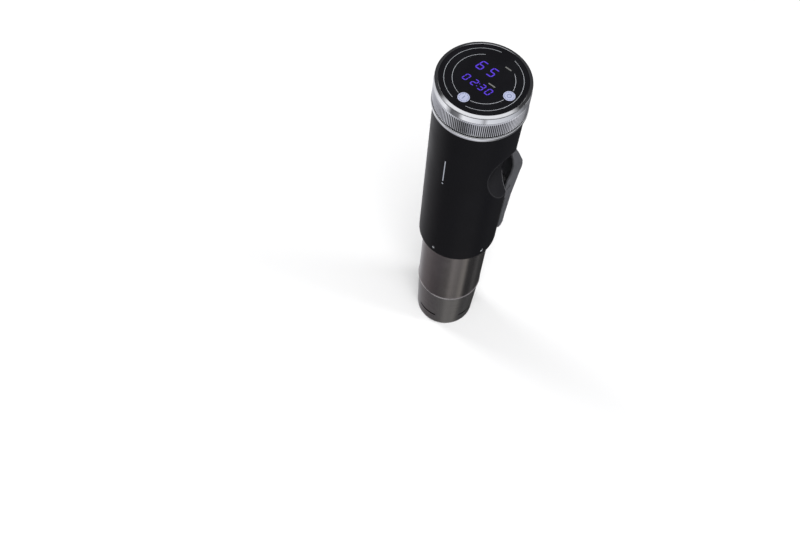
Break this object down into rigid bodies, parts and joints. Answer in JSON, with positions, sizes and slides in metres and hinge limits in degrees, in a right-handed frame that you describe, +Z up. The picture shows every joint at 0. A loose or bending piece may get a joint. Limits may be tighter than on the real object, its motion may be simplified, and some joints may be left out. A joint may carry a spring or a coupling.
{
  "type": "sous vide circulator",
  "caption": "Upright immersion circulator with a chrome dial and glass panel on top, a black tube body with a spring clamp behind, and a steel skirt over heater and pump.",
  "frame": {"origin": "centre of the skirt cap's underside, where the circulator stands", "axes": "+Z up along the tube, -Y towards the user's side with the indicator, +Y towards the clamp, +X to the user's right"},
  "size_m": [0.0634, 0.0799, 0.305],
  "materials": {
    "body": "soft-touch black, fine texture",
    "lever": "dark grey moulded plastic",
    "inner_plastic": "moulded black plastic",
    "white_plastic": "moulded natural plastic",
    "panel_glass": "black back-printed glass, polished",
    "display": "violet-blue lit digits",
    "print": "pale printed lines",
    "key_light": "backlit touch keys",
    "indicator": "clear light guide",
    "chrome": "polished chrome plating",
    "steel": "finely brushed stainless steel",
    "plain_steel": "plain stainless steel",
    "aluminium": "plain extruded",
    "brass": "plain",
    "rubber": "matte black silicone",
    "board": "green circuit board",
    "magnet": "dark coated metal"
  },
  "bodies": {
    "housing": {"body_shell": "body", "indicator_strip": "indicator", "indicator_dot": "indicator", "indicator_board": "board", "body_pad": "rubber", "clamp_bracket": "inner_plastic", "pivot_pin": "plain_steel", "bracket_screw_lower": "plain_steel", "bracket_screw_upper": "plain_steel", "clamp_spring": "plain_steel", "trim_ring": "chrome", "dial_slide_ring": "white_plastic", "glass_panel": "panel_glass", "panel_carrier": "inner_plastic", "carrier_screw_1": "plain_steel", "carrier_screw_2": "plain_steel", "carrier_screw_3": "plain_steel", "touch_board": "board", "display_module": "inner_plastic", "start_key_contact": "brass", "set_key_contact": "brass", "dial_sensor": "inner_plastic", "main_board": "board", "relay": "inner_plastic", "transformer": "magnet", "capacitor": "lever", "heat_sink": "aluminium", "triac": "inner_plastic", "power_terminal": "white_plastic", "cord_gland": "rubber", "lower_bulkhead": "inner_plastic", "bulkhead_seal": "rubber", "heater_element": "plain_steel", "temperature_probe": "plain_steel", "level_electrode_low": "plain_steel", "level_electrode_high": "plain_steel", "shaft_tube": "plain_steel", "shaft_bush_lower": "brass", "shaft_bush_upper": "brass", "shaft_seal": "rubber", "motor_cradle": "inner_plastic", "motor_can": "plain_steel", "motor_magnet": "magnet", "motor_clip_1": "inner_plastic", "motor_clip_2": "inner_plastic"},
    "dial": {"dial_ring": "chrome", "encoder_magnet_ring": "magnet"},
    "clamp": {"clamp_lever": "lever", "lever_pad": "rubber"},
    "skirt": {"skirt_sleeve": "steel", "skirt_cap": "steel", "skirt_lock_ring": "inner_plastic"},
    "pump": {"drive_shaft": "plain_steel", "impeller": "lever", "motor_rotor": "magnet", "cooling_fan": "lever"}
  },
  "joints": [
    {"name": "dial_spin", "type": "hinge", "parent": "housing", "child": "dial", "pos_m": [0, 0, 0.294], "axis": [0, 0, 1], "continuous": true},
    {"name": "clamp_lever_pivot", "type": "hinge", "parent": "housing", "child": "clamp", "pos_m": [0, 0.034, 0.165], "axis": [1, 0, 0], "range_deg": [0, 11.5], "stiffness_Nm_per_rad": 1.2, "springref_deg": -28.65, "deforming": ["clamp_spring"]},
    {"name": "skirt_twist", "type": "hinge", "parent": "housing", "child": "skirt", "pos_m": [0, 0, 0.09], "axis": [0, 0, 1], "range_deg": [0, 76]},
    {"name": "pump_spin", "type": "hinge", "parent": "housing", "child": "pump", "pos_m": [0, 0, 0.1], "axis": [0, 0, 1], "continuous": true}
  ]
}
